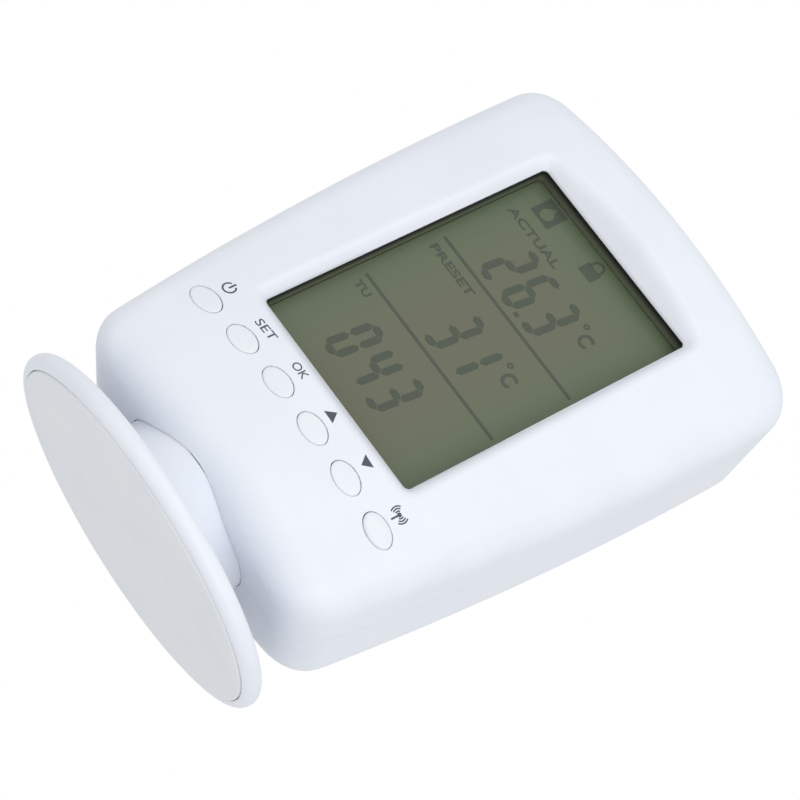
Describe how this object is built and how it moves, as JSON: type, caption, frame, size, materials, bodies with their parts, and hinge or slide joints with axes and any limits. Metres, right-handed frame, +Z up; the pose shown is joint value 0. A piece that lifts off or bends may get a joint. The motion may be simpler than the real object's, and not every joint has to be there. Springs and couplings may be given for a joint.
{
  "type": "programmable room timer",
  "caption": "Wireless room timer and thermostat: a tapered white case with a tall display and a row of oval keys, leaning back and turning on a round weighted foot.",
  "frame": {"origin": "centre of the foot's resting face", "axes": "+Z up along the axis that the case turns on, -Y out of the display's side, +X to the right of someone reading it"},
  "size_m": [0.079, 0.0829, 0.1187],
  "materials": {
    "white_plastic": "satin moulded ABS",
    "foot_pad": "fine matte pad",
    "key_plastic": "satin translucent",
    "display": "polarised display glass",
    "natural_plastic": "moulded",
    "steel": "plated",
    "board": "lacquered glass-fibre board",
    "black_plastic": "moulded",
    "foam_rubber": "soft",
    "sensor": "dipped bead",
    "cell": "printed sleeve"
  },
  "bodies": {
    "foot": {"foot_disc": "white_plastic", "foot_pad": "foot_pad", "ballast_plate": "steel", "neck": "white_plastic", "neck_screw_1": "steel", "neck_screw_2": "steel", "neck_screw_3": "steel", "friction_ring": "natural_plastic"},
    "case": {"front_cover": "white_plastic", "rear_cover": "white_plastic", "case_screw_1": "steel", "case_screw_2": "steel", "case_screw_3": "steel", "case_screw_4": "steel", "battery_tray": "white_plastic", "battery_1": "cell", "battery_2": "cell", "lcd_glass": "display", "lcd_frame": "natural_plastic", "main_board": "board", "processor": "black_plastic", "crystal": "steel", "radio_board": "board", "radio_can": "steel", "antenna": "steel", "capacitor_1": "black_plastic", "capacitor_2": "black_plastic", "temperature_sensor": "sensor", "window_gasket": "foam_rubber", "light_guide": "natural_plastic", "zebra_strip_1": "foam_rubber", "zebra_strip_2": "foam_rubber", "board_screw_1": "steel", "board_screw_2": "steel", "board_screw_3": "steel", "board_screw_4": "steel", "switch_1": "black_plastic", "switch_2": "black_plastic", "switch_3": "black_plastic", "switch_4": "black_plastic", "switch_5": "black_plastic", "switch_6": "black_plastic", "spring_1": "steel", "spring_2": "steel", "contact_link": "steel", "contact_plate_1": "steel", "contact_plate_2": "steel"},
    "key_power": {"button_power": "key_plastic"},
    "key_set": {"button_set": "key_plastic"},
    "key_ok": {"button_ok": "key_plastic"},
    "key_up": {"button_up": "key_plastic"},
    "key_down": {"button_down": "key_plastic"},
    "key_pair": {"button_pair": "key_plastic"},
    "door": {"battery_door": "white_plastic"}
  },
  "joints": [
    {"name": "case_swivel", "type": "hinge", "parent": "foot", "child": "case", "pos_m": [0, 0, 0.0112], "axis": [0, 0, 1], "continuous": true},
    {"name": "power_key", "type": "slide", "parent": "case", "child": "key_power", "axis": [0, 0.9615, -0.2748], "range_m": [0, 0.0006], "stiffness_N_per_m": 1500, "springref_m": -0.0002},
    {"name": "set_key", "type": "slide", "parent": "case", "child": "key_set", "axis": [0, 0.9615, -0.2748], "range_m": [0, 0.0006], "stiffness_N_per_m": 1500, "springref_m": -0.0002},
    {"name": "ok_key", "type": "slide", "parent": "case", "child": "key_ok", "axis": [0, 0.9615, -0.2748], "range_m": [0, 0.0006], "stiffness_N_per_m": 1500, "springref_m": -0.0002},
    {"name": "up_key", "type": "slide", "parent": "case", "child": "key_up", "axis": [0, 0.9615, -0.2748], "range_m": [0, 0.0006], "stiffness_N_per_m": 1500, "springref_m": -0.0002},
    {"name": "down_key", "type": "slide", "parent": "case", "child": "key_down", "axis": [0, 0.9615, -0.2748], "range_m": [0, 0.0006], "stiffness_N_per_m": 1500, "springref_m": -0.0002},
    {"name": "pair_key", "type": "slide", "parent": "case", "child": "key_pair", "axis": [0, 0.9615, -0.2748], "range_m": [0, 0.0006], "stiffness_N_per_m": 1500, "springref_m": -0.0002},
    {"name": "door_hinge", "type": "hinge", "parent": "case", "child": "door", "pos_m": [0, 0.02723, 0.03275], "axis": [-1, 0, 0], "range_deg": [0, 80]}
  ]
}
